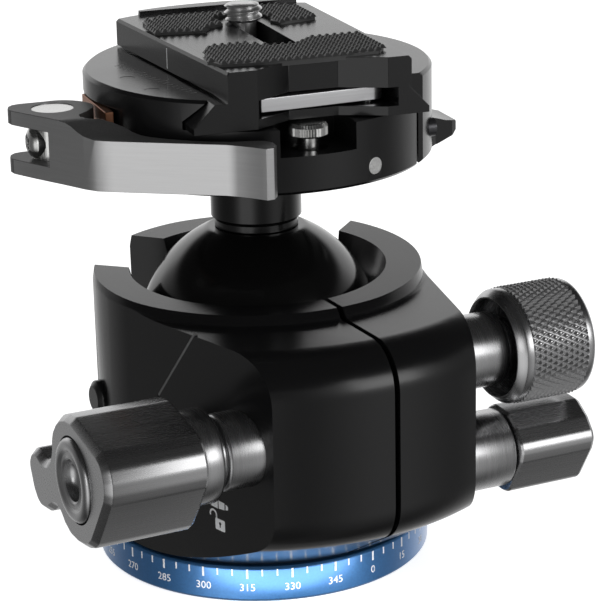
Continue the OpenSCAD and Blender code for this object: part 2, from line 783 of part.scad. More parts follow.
pan_base();
pan_hub();
tripod_insert();
base_screws();
pan_washer();
pan_retainer();
retainer_screws();
housing();
ball_seat();
seat_spring();
lock_bush();
friction_bush();
pan_bush();
side_plug();
lock_bolt();
lock_collar();
lock_knob();
disc_springs();
tension_dial();
friction_screw();
friction_knob();
pan_screw();
pan_knob();
ball();
stem();
clamp_screw();
clamp_body();
wear_plate();
wall_pin();
land_plugs();
plunger_seat();
safety_plunger();
moving_jaw();
guide_pins();
tension_bolt();
adjuster_head();
barrel_pin();
lever();
plate();
pad_near();
pad_far();
strap_pin();
strap_bar();
screw_clip();
camera_screw();
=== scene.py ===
"""Tripod ball head with a lever-release clamp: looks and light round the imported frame.

Lengths are written in millimetres and turned to metres where a mesh is made.
"""

import json
from math import cos, hypot, pi, radians, sin, tan

import bmesh
import bpy
from mathutils import Matrix, Vector
from mathutils.geometry import tessellate_polygon


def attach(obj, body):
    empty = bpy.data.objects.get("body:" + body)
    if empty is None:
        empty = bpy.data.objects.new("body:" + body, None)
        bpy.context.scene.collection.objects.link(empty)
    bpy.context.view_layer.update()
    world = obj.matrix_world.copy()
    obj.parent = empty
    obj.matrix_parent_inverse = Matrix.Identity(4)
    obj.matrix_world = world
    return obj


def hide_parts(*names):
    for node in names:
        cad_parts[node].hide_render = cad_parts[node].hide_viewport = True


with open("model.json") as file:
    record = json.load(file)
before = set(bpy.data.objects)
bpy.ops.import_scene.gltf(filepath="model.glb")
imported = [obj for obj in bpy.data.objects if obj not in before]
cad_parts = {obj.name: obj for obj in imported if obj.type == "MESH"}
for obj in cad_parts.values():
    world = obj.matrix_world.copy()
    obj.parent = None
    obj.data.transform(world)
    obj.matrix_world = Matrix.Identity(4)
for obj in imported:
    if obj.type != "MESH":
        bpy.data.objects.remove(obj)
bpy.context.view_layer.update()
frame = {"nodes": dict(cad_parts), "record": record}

MM = 0.001
NODES = frame["nodes"]
BODIES = frame["record"]["behaviour"]["bodies"]
BODY_OF = {node: body for body, nodes in BODIES.items() for node in nodes}

CLAMP_TURN = radians(-7)
KNOB_Y = -34.0
LOCK_Z, FRICTION_Z, PAN_Z = 31.0, 39.8, 22.7
BASE_R = 28.0
VIEW_TURN = radians(-26)
RIGHT = Vector((cos(VIEW_TURN), sin(VIEW_TURN), 0))
AWAY = Vector((-sin(VIEW_TURN), cos(VIEW_TURN), 0))


# camera ------------------------------------------------------------------


def place_camera():
    """Three-quarter view from the front left, a little above the knobs."""
    el, roll, far = radians(17.68), radians(-1.14), 408 * MM
    target = Vector((6.23, -3.04, 42.06)) * MM
    spot = target - AWAY * far * cos(el) + Vector((0, 0, far * sin(el)))
    ahead = (target - spot).normalized()
    up = RIGHT.cross(ahead)
    r = RIGHT * cos(roll) + up * sin(roll)
    u = up * cos(roll) - RIGHT * sin(roll)
    data = bpy.data.cameras.new("camera")
    data.sensor_fit = "HORIZONTAL"
    data.sensor_width = 36
    data.lens = 2443 * 36 / 600
    data.clip_start, data.clip_end = 0.01, 50
    cam = bpy.data.objects.new("camera", data)
    cam.matrix_world = Matrix(
        (
            (r.x, u.x, -ahead.x, spot.x),
            (r.y, u.y, -ahead.y, spot.y),
            (r.z, u.z, -ahead.z, spot.z),
            (0, 0, 0, 1),
        )
    )
    bpy.context.scene.collection.objects.link(cam)
    bpy.context.scene.camera = cam


place_camera()


# shader groups --------------------------------------------------------------


class Wires:
    """Short way to place nodes in a tree and join them."""

    def __init__(self, tree):
        self.tree = tree

    def add(self, kind, **values):
        node = self.tree.nodes.new(kind)
        for key, value in values.items():
            if hasattr(node, key):
                setattr(node, key, value)
            else:
                node.inputs[key.replace("_", " ")].default_value = value
        return node

    def join(self, source, target):
        self.tree.links.new(source, target)

    def feed(self, value, socket):
        if isinstance(value, bpy.types.NodeSocket):
            self.join(value, socket)
        else:
            socket.default_value = value

    def math(self, op, a, b=0.0, c=0.0):
        node = self.tree.nodes.new("ShaderNodeMath")
        node.operation = op
        for socket, value in zip(node.inputs, (a, b, c)):
            self.feed(value, socket)
        return node.outputs[0]

    def ramp(self, value, low, high, at_low, at_high):
        """Straight line from (low, at_low) to (high, at_high), held outside."""
        node = self.tree.nodes.new("ShaderNodeMapRange")
        node.clamp = True
        for socket, number in zip(node.inputs, (value, low, high, at_low, at_high)):
            self.feed(number, socket)
        return node.outputs[0]

    def blend(self, factor, a, b, how="MIX"):
        node = self.tree.nodes.new("ShaderNodeMix")
        node.data_type, node.blend_type = "RGBA", how
        for socket, value in ((node.inputs[0], factor), (node.inputs[6], a), (node.inputs[7], b)):
            self.feed(value, socket)
        return node.outputs[2]


FLOAT, COLOR, VECTOR = "NodeSocketFloat", "NodeSocketColor", "NodeSocketVector"


def group_tree(name, ins, outs):
    tree = bpy.data.node_groups.new(name, "ShaderNodeTree")
    for label, kind, value in ins:
        socket = tree.interface.new_socket(label, in_out="INPUT", socket_type=kind)
        socket.default_value = value
    for label, kind in outs:
        tree.interface.new_socket(label, in_out="OUTPUT", socket_type=kind)
    w = Wires(tree)
    return tree, w, w.add("NodeGroupInput"), w.add("NodeGroupOutput")


def rgb(r, g, b):
    return (r, g, b, 1)


def make_blasted():
    """Bead-blasted skin: fine grain, faint cloudiness from handling."""
    tree, w, gin, gout = group_tree(
        "blasted skin",
        [
            ("Colour", COLOR, rgb(0.5, 0.5, 0.5)),
            ("Roughness", FLOAT, 0.4),
            ("Grain", FLOAT, 2600.0),
            ("Cloud", FLOAT, 0.1),
            ("Speck", FLOAT, 0.35),
        ],
        [("Colour", COLOR), ("Roughness", FLOAT), ("Height", FLOAT)],
    )
    spot = w.add("ShaderNodeTexCoord").outputs["Object"]
    grain = w.add("ShaderNodeTexNoise", Detail=2.0, Roughness=0.6)
    w.join(gin.outputs["Grain"], grain.inputs["Scale"])
    w.join(spot, grain.inputs["Vector"])
    cloud = w.add("ShaderNodeTexNoise", Scale=55.0, Detail=4.0, Roughness=0.55)
    w.join(spot, cloud.inputs["Vector"])
    shift = w.math("MULTIPLY", w.math("SUBTRACT", cloud.outputs["Fac"], 0.5), gin.outputs["Cloud"])
    speck = w.math("MULTIPLY", w.math("SUBTRACT", grain.outputs["Fac"], 0.5), gin.outputs["Speck"])
    bright = w.math("ADD", 1.0, w.math("ADD", shift, speck))
    w.join(w.blend(1.0, gin.outputs["Colour"], bright, "MULTIPLY"), gout.inputs["Colour"])
    w.join(w.math("ADD", gin.outputs["Roughness"], shift), gout.inputs["Roughness"])
    w.join(grain.outputs["Fac"], gout.inputs["Height"])
    return tree


def make_brushed():
    """Long fine scratches drawn out along one direction."""
    tree, w, gin, gout = group_tree(
        "brushed lines",
        [
            ("Colour", COLOR, rgb(0.5, 0.5, 0.5)),
            ("Roughness", FLOAT, 0.35),
            ("Stretch", VECTOR, (60.0, 60.0, 4000.0)),
            ("Depth", FLOAT, 0.2),
        ],
        [("Colour", COLOR), ("Roughness", FLOAT), ("Height", FLOAT)],
    )
    spot = w.add("ShaderNodeTexCoord").outputs["Object"]
    scaled = w.add("ShaderNodeVectorMath", operation="MULTIPLY")
    w.join(spot, scaled.inputs[0])
    w.join(gin.outputs["Stretch"], scaled.inputs[1])
    lines = w.add("ShaderNodeTexNoise", Scale=1.0, Detail=3.0, Roughness=0.65)
    w.join(scaled.outputs[0], lines.inputs["Vector"])
    shift = w.math("MULTIPLY", w.math("SUBTRACT", lines.outputs["Fac"], 0.5), gin.outputs["Depth"])
    bright = w.math("ADD", 1.0, w.math("MULTIPLY", shift, 2.0))
    w.join(w.blend(1.0, gin.outputs["Colour"], bright, "MULTIPLY"), gout.inputs["Colour"])
    w.join(w.math("ADD", gin.outputs["Roughness"], shift), gout.inputs["Roughness"])
    w.join(lines.outputs["Fac"], gout.inputs["Height"])
    return tree


BLASTED = make_blasted()
BRUSHED = make_brushed()
ALONG_X = (60.0, 2600.0, 2600.0)
ROUND_X = (2600.0, 90.0, 90.0)
ROUND_Z = (90.0, 90.0, 3000.0)


# materials ------------------------------------------------------------------


def finish_material(name, group, settings, bump=0.1, **surface):
    """One Principled finish fed by a skin group; plain numbers stay on the shader."""
    mat = bpy.data.materials.new(name)
    mat.use_nodes = True
    tree = mat.node_tree
    tree.nodes.clear()
    w = Wires(tree)
    out = w.add("ShaderNodeOutputMaterial")
    shader = w.add("ShaderNodeBsdfPrincipled")
    for key, value in surface.items():
        shader.inputs[key.replace("_", " ")].default_value = value
    skin = w.add("ShaderNodeGroup")
    skin.node_tree = group
    for key, value in settings.items():
        skin.inputs[key].default_value = value
    w.join(skin.outputs["Colour"], shader.inputs["Base Color"])
    w.join(skin.outputs["Roughness"], shader.inputs["Roughness"])
    if bump:
        relief = w.add("ShaderNodeBump", Strength=bump, Distance=0.00003)
        w.join(skin.outputs["Height"], relief.inputs["Height"])
        w.join(relief.outputs["Normal"], shader.inputs["Normal"])
    w.join(shader.outputs["BSDF"], out.inputs["Surface"])
    return mat


BLUE = finish_material(
    "blue anodise",
    BLASTED,
    {"Colour": rgb(0.05, 0.2, 0.48), "Roughness": 0.33, "Cloud": 0.08},
    Metallic=0.7,
    Coat_Weight=0.8,
    Coat_Roughness=0.3,
)
BLACK = finish_material(
    "black anodise",
    BLASTED,
    {"Colour": rgb(0.005, 0.005, 0.0053), "Roughness": 0.23, "Cloud": 0.05},
    bump=0.06,
    Specular_IOR_Level=0.5,
)
POLISHED = finish_material(
    "polished black",
    BLASTED,
    {"Colour": rgb(0.004, 0.004, 0.004), "Roughness": 0.15, "Cloud": 0.03},
    bump=0.0,
    Specular_IOR_Level=0.5,
)
GREY = finish_material(
    "grey anodise",
    BRUSHED,
    {"Colour": rgb(0.45, 0.45, 0.455), "Roughness": 0.27, "Depth": 0.08, "Stretch": ALONG_X},
    bump=0.06,
    Metallic=1.0,
)
TURNED_GREY = finish_material(
    "turned grey",
    BRUSHED,
    {"Colour": rgb(0.45, 0.45, 0.455), "Roughness": 0.27, "Depth": 0.1, "Stretch": ROUND_X},
    bump=0.1,
    Metallic=1.0,
)
LEVER_GREY = finish_material(
    "brushed lever",
    BRUSHED,
    {"Colour": rgb(0.5, 0.5, 0.502), "Roughness": 0.3, "Depth": 0.1, "Stretch": ROUND_Z},
    bump=0.12,
    Metallic=0.92,
)
# darker copy of the lever's grey for the faces turned away from the camera: painted shade
LEVER_SHADE_PAINT = finish_material(
    "lever sides painted shade",
    BLASTED,
    {"Colour": rgb(0.17, 0.17, 0.17), "Roughness": 0.48, "Cloud": 0.1},
    Metallic=0.85,
)
ALU = finish_material(
    "bare aluminium",
    BRUSHED,
    {"Colour": rgb(0.62, 0.62, 0.63), "Roughness": 0.3, "Depth": 0.12},
    Metallic=1.0,
)
STEEL = finish_material(
    "turned steel",
    BRUSHED,
    {"Colour": rgb(0.62, 0.62, 0.61), "Roughness": 0.24, "Depth": 0.08, "Stretch": ROUND_Z},
    Metallic=1.0,
)
ROUGH_STEEL = finish_material(
    "faced pin end",
    BLASTED,
    {"Colour": rgb(0.7, 0.7, 0.69), "Roughness": 0.45, "Cloud": 0.2, "Speck": 0.8},
    bump=0.5,
    Metallic=0.85,
)
DARK_STEEL = finish_material(
    "blackened steel",
    BLASTED,
    {"Colour": rgb(0.08, 0.08, 0.085), "Roughness": 0.36, "Cloud": 0.1},
    Metallic=0.8,
)
COPPER = finish_material(
    "copper shim",
    BRUSHED,
    {"Colour": rgb(0.36, 0.17, 0.1), "Roughness": 0.38, "Depth": 0.2},
    Metallic=1.0,
)
POLYMER = finish_material(
    "ivory polymer",
    BLASTED,
    {"Colour": rgb(0.72, 0.69, 0.6), "Roughness": 0.5, "Cloud": 0.08},
)
RUBBER = finish_material(
    "moulded rubber",
    BLASTED,
    {"Colour": rgb(0.032, 0.032, 0.032), "Roughness": 0.4, "Cloud": 0.1},
    bump=0.2,
)
PAINT = finish_material(
    "white fill paint",
    BLASTED,
    {"Colour": rgb(0.8, 0.81, 0.82), "Roughness": 0.55, "Cloud": 0.05},
)
SOFT_MARK = finish_material(
    "laser mark",
    BLASTED,
    {"Colour": rgb(0.2, 0.2, 0.2), "Roughness": 0.6, "Cloud": 0.1},
)
SAWN = finish_material(
    "sawn edge",
    BLASTED,
    {"Colour": rgb(0.16, 0.16, 0.16), "Roughness": 0.4, "Cloud": 0.1},
    Metallic=0.4,
)
KNURL_GREY = finish_material(
    "rolled knurl",
    BLASTED,
    {"Colour": rgb(0.55, 0.55, 0.555), "Roughness": 0.24, "Cloud": 0.06, "Speck": 0.1},
    bump=0.0,
    Metallic=0.92,
)
SCREW_STEEL = finish_material(
    "zinc plated steel",
    BLASTED,
    {"Colour": rgb(0.66, 0.66, 0.66), "Roughness": 0.32, "Cloud": 0.12, "Speck": 0.3},
    bump=0.1,
    Metallic=0.95,
)

FINISH = {
    BLUE: "pan_base",
    ALU: "pan_hub pan_retainer strap_bar",
    STEEL: "tripod_insert seat_spring lock_bolt disc_springs friction_screw pan_screw plunger_seat"
    " safety_plunger tension_bolt adjuster_head barrel_pin strap_pin screw_clip camera_screw",
    DARK_STEEL: "base_screws retainer_screws clamp_screw guide_pins",
    POLYMER: "pan_washer ball_seat",
    BLACK: "housing side_plug clamp_body land_plugs moving_jaw plate",
    TURNED_GREY: "lock_bush friction_bush pan_bush lock_collar tension_dial friction_knob",
    GREY: "lock_knob pan_knob",
    POLISHED: "ball stem",
    COPPER: "wear_plate",
    ROUGH_STEEL: "wall_pin",
    LEVER_GREY: "lever",
    RUBBER: "pad_near pad_far",
}
FINISH_OF = {node: material for material, names in FINISH.items() for node in names.split()}

for name, node in NODES.items():
    node.data.materials.clear()
    node.data.materials.append(FINISH_OF[name])


# making pieces ------------------------------------------------------------------


def settle(name, mesh, like, material=None, stands_for=()):
    """Turns a finished mesh into a piece that rides with the CAD node it belongs to."""
    mesh.materials.clear()
    mesh.materials.append(material or FINISH_OF[like])
    piece = bpy.data.objects.new(name, mesh)
    bpy.context.scene.collection.objects.link(piece)
    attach(piece, BODY_OF[like])
    if stands_for:
        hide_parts(*stands_for)
    return piece


def solid(name, points, faces, like, material=None, stands_for=(), crease=30):
    """A new piece from points in millimetres, smooth up to the crease angle."""
    mesh = bpy.data.meshes.new(name)
    bm = bmesh.new()
    verts = [bm.verts.new(Vector(p) * MM) for p in points]
    for face in faces:
        bm.faces.new([verts[i] for i in face])
    bmesh.ops.remove_doubles(bm, verts=bm.verts, dist=1e-7)
    bmesh.ops.recalc_face_normals(bm, faces=bm.faces)
    bm.to_mesh(mesh)
    bm.free()
    mesh.shade_smooth()
    mesh.set_sharp_from_angle(angle=radians(crease))
    return settle(name, mesh, like, material, stands_for)


def join_rings(rings, ends=True):
    """Points and faces of a skin over rings of equal count, closed at both ends."""
    n = len(rings[0])
    points = [p for ring in rings for p in ring]
    faces = [
        (k * n + i, k * n + (i + 1) % n, (k + 1) * n + (i + 1) % n, (k + 1) * n + i)
        for k in range(len(rings) - 1)
        for i in range(n)
    ]
    if ends:
        faces += [tuple(range(n))[::-1], tuple(range(len(points) - n, len(points)))]
    return points, faces


def turned_x(profile, z, count=96):
    """Skin turned about a knob axis from (x, r) pairs; both ends may close on the axis."""
    rings = [
        [(x, KNOB_Y + r * cos(2 * pi * i / count), z + r * sin(2 * pi * i / count)) for i in range(count)]
        for x, r in profile
    ]
    return join_rings(rings, ends=False)


def turned_z(profile, centre, count=64):
    """Skin turned about an upright axis from (r, z) pairs."""
    cx, cy = centre
    turns = [2 * pi * i / count for i in range(count)]
    rings = [[(cx + r * cos(a), cy + r * sin(a), z) for a in turns] for r, z in profile]
    return join_rings(rings, ends=False)


def rounded(outline, radius, steps=5):
    """Closed outline with every corner rolled to about the radius."""
    out = []
    for k, corner in enumerate(outline):
        p, q, s = Vector(outline[k - 1]), Vector(corner), Vector(outline[(k + 1) % len(outline)])
        a, b = p - q, s - q
        turn = pi - a.angle(b)
        reach = min(radius * tan(turn / 2), 0.48 * a.length, 0.48 * b.length)
        if turn < radians(3):
            out.append(tuple(q))
            continue
        start, end = q + a.normalized() * reach, q + b.normalized() * reach
        for i in range(steps + 1):
            t = i / steps
            out.append(tuple(start * (1 - t) ** 2 + q * 2 * t * (1 - t) + end * t * t))
    return out


def inset(outline, depth):
    """Closed outline moved inwards by the depth."""
    n = len(outline)
    area = sum(outline[k - 1][0] * outline[k][1] - outline[k][0] * outline[k - 1][1] for k in range(n))
    side = 1 if area > 0 else -1
    out = []
    for k in range(n):
        p, q, s = Vector(outline[k - 1]), Vector(outline[k]), Vector(outline[(k + 1) % n])
        a, b = (q - p).normalized(), (s - q).normalized()
        normal = Vector((-(a.y + b.y), a.x + b.x)) * side
        normal.normalize()
        out.append(tuple(q + normal * depth))
    return out


def holed_face(outer, inner, offset_outer, offset_inner):
    """Triangles between an outer and an inner loop, as indices with the given offsets."""
    loops = [[Vector((p[0], p[1], 0)) for p in outer], [Vector((p[0], p[1], 0)) for p in inner]]
    count = len(outer)
    return [
        tuple(i + offset_outer if i < count else i - count + offset_inner for i in tri)
        for tri in tessellate_polygon(loops)
    ]


def clean_copy(node, tidy=0.3):
    """The CAD node's mesh, welded and with flat triangles merged, ready to be finished."""
    bm = bmesh.new()
    bm.from_mesh(NODES[node].data)
    bmesh.ops.remove_doubles(bm, verts=bm.verts, dist=2e-6)
    bmesh.ops.dissolve_limit(bm, angle_limit=radians(tidy), verts=bm.verts, edges=bm.edges)
    return bm


def broken_edges(bm, name, width, angle):
    """Mesh of bm with its sharp edges broken by a small bevel and weighted normals."""
    mesh = bpy.data.meshes.new(name)
    bm.to_mesh(mesh)
    bm.free()
    mesh.shade_smooth()
    holder = bpy.data.objects.new(name, mesh)
    bpy.context.scene.collection.objects.link(holder)
    bevel = holder.modifiers.new("edge break", "BEVEL")
    bevel.width, bevel.segments = width * MM, 2
    bevel.limit_method, bevel.angle_limit = "ANGLE", radians(angle)
    bevel.harden_normals = False
    weight = holder.modifiers.new("even normals", "WEIGHTED_NORMAL")
    weight.weight = 80
    bpy.context.view_layer.update()
    graph = bpy.context.evaluated_depsgraph_get()
    made = bpy.data.meshes.new_from_object(holder.evaluated_get(graph), depsgraph=graph)
    made.name = name
    bpy.data.objects.remove(holder)
    bpy.data.meshes.remove(mesh)
    return made


def dressed(node, width=0.2, angle=28, reshape=None, material=None):
    """A CAD node's own shape with its edges broken, standing for that node."""
    bm = clean_copy(node)
    if reshape:
        for v in bm.verts:
            v.co = reshape(v.co / MM) * MM
        bmesh.ops.remove_doubles(bm, verts=bm.verts, dist=2e-6)
        bmesh.ops.dissolve_degenerate(bm, dist=2e-6, edges=bm.edges)
    name = node + "_finished"
    return settle(name, broken_edges(bm, name, width, angle), node, material, (node,))


def to_clamp(x, y, z):
    """Clamp-local point in the part frame."""
    c, s = cos(CLAMP_TURN), sin(CLAMP_TURN)
    return (x * c - y * s, x * s + y * c, z)


def to_local(p):
    """Clamp-local x and y of a point in the part frame."""
    c, s = cos(CLAMP_TURN), sin(CLAMP_TURN)
    return p.x * c + p.y * s, p.y * c - p.x * s


def prism(outline, z0, z1, chamfer=0.0):
    """Upright prism over a clamp-local outline, with the top edge taken off by the chamfer."""
    rings = [[to_clamp(x, y, z0) for x, y in outline]]
    if chamfer:
        rings.append([to_clamp(x, y, z1 - chamfer) for x, y in outline])
        rings.append([to_clamp(x, y, z1) for x, y in inset(outline, chamfer)])
    else:
        rings.append([to_clamp(x, y, z1) for x, y in outline])
    return join_rings(rings)


def gather(parts):
    """Several (points, faces) sets as one."""
    points, faces = [], []
    for more_points, more_faces in parts:
        base = len(points)
        points += more_points
        faces += [tuple(i + base for i in face) for face in more_faces]
    return points, faces


def inside(x, y, outline):
    """True where the point lies in the closed outline."""
    hit = False
    for k in range(len(outline)):
        (ax, ay), (bx, by) = outline[k - 1], outline[k]
        if (ay > y) != (by > y) and x < (bx - ax) * (y - ay) / (by - ay) + ax:
            hit = not hit
    return hit


def held(value, low, high):
    return max(low, min(high, value))


# housing and base ---------------------------------------------------------------------


def raised_collar(p):
    """The collar rises a little towards the back and keeps the body's full width there."""
    foot, blend, rise, widening = 46.95, 1.1, 1.5, 0.85
    inner, rim, outer = 20, 24, 27.6
    r = hypot(p.x, p.y)
    lift = held((p.z - foot) / blend, 0, 1)
    if lift <= 0 or r < inner or r > outer:
        return p
    along = p.x * AWAY.x + p.y * AWAY.y
    back = held((along + 18) / 40, 0, 1)
    wide = held((along + 24) / 22, 0, 1)
    grow = 1 + (widening * wide * lift / r if r > rim else 0)
    return Vector((p.x * grow, p.y * grow, p.z + lift * rise * back))


FLAT_REAR = (-26.39, -6.58)
FLAT_SIN, FLAT_COS = 0.2419, 0.9703


def left_flat(along, z, out=0.0):
    """Point on the housing's left flat, measured forward from its rear edge."""
    x, y = FLAT_REAR
    return (x + FLAT_SIN * along - FLAT_COS * out, y - FLAT_COS * along - FLAT_SIN * out, z)


def flat_mark(outline, depth=0.02):
    """Thin inlay on the left flat from (along, z) points."""
    return join_rings([[left_flat(u, z, out) for u, z in outline] for out in (-0.15, depth)])


def lock_pictograms():
    """Tapering friction wedge and an open padlock, filled white."""
    low, high = 19.15, 20.75
    start, stop = 18.4, 24.8

    def wedge(a, b, k0, k1):
        mid = 0.5 * (low + high)
        h0, h1 = 0.5 * (high - low) * k0, 0.5 * (high - low) * k1
        return flat_mark([(a, mid - h0), (b, mid - h1), (b, mid + h1), (a, mid + h0)])

    bars = [
        flat_mark([(start, 19.95), (start + 2.0, 19.35), (start + 2.0, 20.5)]),
        wedge(start + 2.2, start + 3.8, 0.85, 0.95),
        wedge(start + 4.05, start + 5.5, 0.85, 0.72),
        wedge(start + 5.8, stop, 0.6, 0.35),
    ]
    body = [(21.5, 15.6), (23.9, 15.6), (23.9, 17.5), (21.5, 17.5)]
    middle, ring, gap = (21.05, 17.9), 0.95, 0.62
    sweep = [radians(a) for a in range(-20, 201, 20)]
    shackle = [(middle[0] + ring * cos(a), middle[1] + ring * sin(a)) for a in sweep]
    shackle += [(middle[0] + gap * cos(a), middle[1] + gap * sin(a)) for a in reversed(sweep)]
    post = [(21.65, 17.4), (22.0, 17.4), (22.0, 17.95), (21.65, 17.95)]
    points, faces = gather(bars + [flat_mark(rounded(body, 0.25, 3)), flat_mark(shackle), flat_mark(post)])
    solid("lock_pictograms", points, faces, "housing", PAINT)
    hole = [(22.7 + 0.27 * cos(radians(a)), 16.75 + 0.27 * sin(radians(a))) for a in range(0, 360, 30)]
    slot = [(22.58, 16.1), (22.82, 16.1), (22.82, 16.75), (22.58, 16.75)]
    points, faces = gather([flat_mark(hole, 0.04), flat_mark(slot, 0.04)])
    solid("padlock_keyhole", points, faces, "housing", BLACK)


def relief_cut():
    """Bright sawn floor of the relief cut on the left flat."""
    lean, half, wide = radians(38), 8.0, 0.24
    centre = (12.65, 40.5)
    along = (sin(lean), cos(lean))
    across = (cos(lean), -sin(lean))
    corners = [
        (centre[0] + along[0] * a + across[0] * b, centre[1] + along[1] * a + across[1] * b)
        for a, b in ((-half, -wide), (half, -wide), (half, wide), (-half, wide))
    ]
    rings = [[left_flat(u, z, -0.6) for u, z in corners], [left_flat(u, z, -0.03) for u, z in corners]]
    points, faces = join_rings(rings)
    solid("relief_cut_floor", points, faces, "housing", SAWN)


def scale_ring():
    """Degree marks and plain numbers round the panning base, filled white."""
    top, skin_r, zero = 5.75, BASE_R, radians(-76)
    parts = []

    def wrapped(angle, width, z0, z1):
        corners = []
        for r in (skin_r - 0.15, skin_r + 0.02):
            corners.append(
                [
                    (r * cos(angle + s * width / 2 / r), r * sin(angle + s * width / 2 / r), z)
                    for s, z in ((-1, z0), (1, z0), (1, z1), (-1, z1))
                ]
            )
        return join_rings(corners)

    for mark in range(0, 360, 5):
        major = mark % 15 == 0
        angle = zero + radians(mark)
        parts.append(wrapped(angle, 0.34 if major else 0.26, top - (1.6 if major else 1.15), top))
    points, faces = gather(parts)
    solid("degree_marks", points, faces, "pan_base", PAINT)

    bm = bmesh.new()
    for mark in range(0, 360, 15):
        curve = bpy.data.curves.new("number", "FONT")
        curve.body, curve.size, curve.extrude = str(mark), 1.8, 0.05
        curve.align_x, curve.resolution_u = "CENTER", 3
        holder = bpy.data.objects.new("number", curve)
        bpy.context.scene.collection.objects.link(holder)
        bpy.context.view_layer.update()
        graph = bpy.context.evaluated_depsgraph_get()
        shape = bpy.data.meshes.new_from_object(holder.evaluated_get(graph), depsgraph=graph)
        angle = zero + radians(mark)
        for v in shape.vertices:
            r = skin_r - 0.03 + v.co.z
            a = angle + v.co.x / skin_r
            v.co = Vector((r * cos(a), r * sin(a), 2.0 + v.co.y)) * MM
        bm.from_mesh(shape)
        bpy.data.objects.remove(holder)
        bpy.data.curves.remove(curve)
        bpy.data.meshes.remove(shape)
    mesh = bpy.data.meshes.new("degree_numbers")
    bm.to_mesh(mesh)
    bm.free()
    settle("degree_numbers", mesh, "pan_base", PAINT)


dressed("housing", 0.3, 26, raised_collar)
dressed("pan_base", 0.12, 26)
dressed("side_plug", 0.15)
lock_pictograms()
relief_cut()
scale_ring()


# knobs ----------------------------------------------------------------------------------


LOCK_SECTION = [
    (0.5, 9.6), (-9.6, 7.6), (-11.2, 6.9), (-12.4, 5.6), (-13.2, 3.6), (-13.2, 1.9), (-12.6, 0.2),
    (-9.5, -4.2), (-6.7, -8.0), (-5.2, -9.2), (-3.0, -10.0), (-0.5, -10.4), (2.7, -10.3), (5.2, -9.3),
    (6.8, -8.0), (8.2, -7.5), (9.8, -8.0), (11.6, -9.2), (13.4, -10.0), (15.4, -10.2), (17.0, -9.6),
    (18.6, -8.0), (20.2, -4.6), (20.2, -3.2), (19.2, -1.6), (17.6, -0.7), (16.0, -0.9), (14.2, -1.5),
    (12.4, -1.4), (10.8, -0.2), (9.8, 1.8), (9.7, 3.6), (9.0, 5.4), (7.4, 7.2), (5.6, 8.5), (3.4, 9.3),
]
PAN_SECTION = [
    (2.0, 6.65), (-2.3, 6.45), (-5.2, 4.55), (-6.9, 2.5), (-7.35, 1.2), (-6.8, -0.7), (-3.2, -6.6),
    (-2.3, -7.2), (-0.9, -7.45), (2.6, -7.2), (5.6, -5.2), (7.0, -2.7), (7.3, -1.2), (6.7, 0.9), (5.0, 4.3),
    (3.6, 5.7),
]


def knob_rings(section, stations, z):
    """Rings of a knob's section at (x, inset) stations."""
    return [[(x, KNOB_Y + a, z + b) for a, b in (inset(section, d) if d else section)] for x, d in stations]


def lock_knob():
    """Winged knob: crisp chamfer at its outer end, a bore there for the tension dial."""
    section = rounded(LOCK_SECTION, 3.0)
    stations = [
        (-46.8, 1.0), (-46.72, 0.86), (-45.8, 0.06), (-45.6, 0), (-31.0, 0), (-30.62, 0.2), (-30.5, 0.55),
    ]
    rings = knob_rings(section, stations, LOCK_Z)
    points, faces = join_rings(rings, ends=False)
    n = len(section)
    bore = 6.8
    circle = [(bore * cos(2 * pi * i / 72), bore * sin(2 * pi * i / 72)) for i in range(72)]
    deep = []
    for x in (-46.8, -44.0):
        deep.append(len(points))
        points += [(x, KNOB_Y + a, LOCK_Z + b) for a, b in circle]
    faces += holed_face(inset(section, 1.0), circle, 0, deep[0])
    faces += [(deep[0] + i, deep[0] + (i + 1) % 72, deep[1] + (i + 1) % 72, deep[1] + i) for i in range(72)]
    faces.append(tuple(range(deep[1], deep[1] + 72)))
    faces.append(tuple(range((len(stations) - 1) * n, len(stations) * n)))
    solid("lock_knob_turned", points, faces, "lock_knob", GREY, ("lock_knob",), crease=24)


def tension_dial():
    """Turned dial: round rim, groove, and a dished centre."""
    rim = -47.6
    profile = [
        (-43.8, 0), (-43.8, 6.5), (-46.7, 6.55), (-46.95, 6.5), (-47.2, 6.32), (rim + 0.12, 6.0),
        (rim, 5.6), (rim, 5.1), (rim + 0.1, 4.75), (rim + 0.38, 4.45), (rim + 0.5, 4.1), (rim + 0.42, 3.8),
        (rim + 0.3, 3.5), (rim + 0.5, 3.2), (rim + 1.3, 3.0), (rim + 2.0, 2.6), (rim + 2.35, 1.8),
        (rim + 2.2, 1.3), (rim + 1.9, 1.0), (rim + 1.9, 0),
    ]
    points, faces = turned_x(profile, LOCK_Z)
    solid("tension_dial_turned", points, faces, "tension_dial", TURNED_GREY, ("tension_dial",), crease=40)


def lock_neck():
    """Collar behind the knob and the threaded neck it runs up to."""
    collar = [
        (-30.2, 4.1), (-30.2, 6.9), (-30.0, 7.25), (-29.7, 7.42), (-25.75, 7.42), (-25.4, 7.25),
        (-25.15, 6.9), (-25.15, 4.1),
    ]
    points, faces = turned_x(collar, LOCK_Z)
    solid("lock_collar_turned", points, faces, "lock_collar", TURNED_GREY, ("lock_collar",), crease=50)
    bush = [
        (-15.4, 4.1), (-15.4, 6.08), (-23.4, 6.08), (-23.8, 5.95), (-24.05, 5.65), (-24.05, 5.2),
        (-25.0, 5.2), (-25.0, 4.1),
    ]
    points, faces = turned_x(bush, LOCK_Z)
    solid("lock_bush_turned", points, faces, "lock_bush", TURNED_GREY, ("lock_bush",), crease=50)


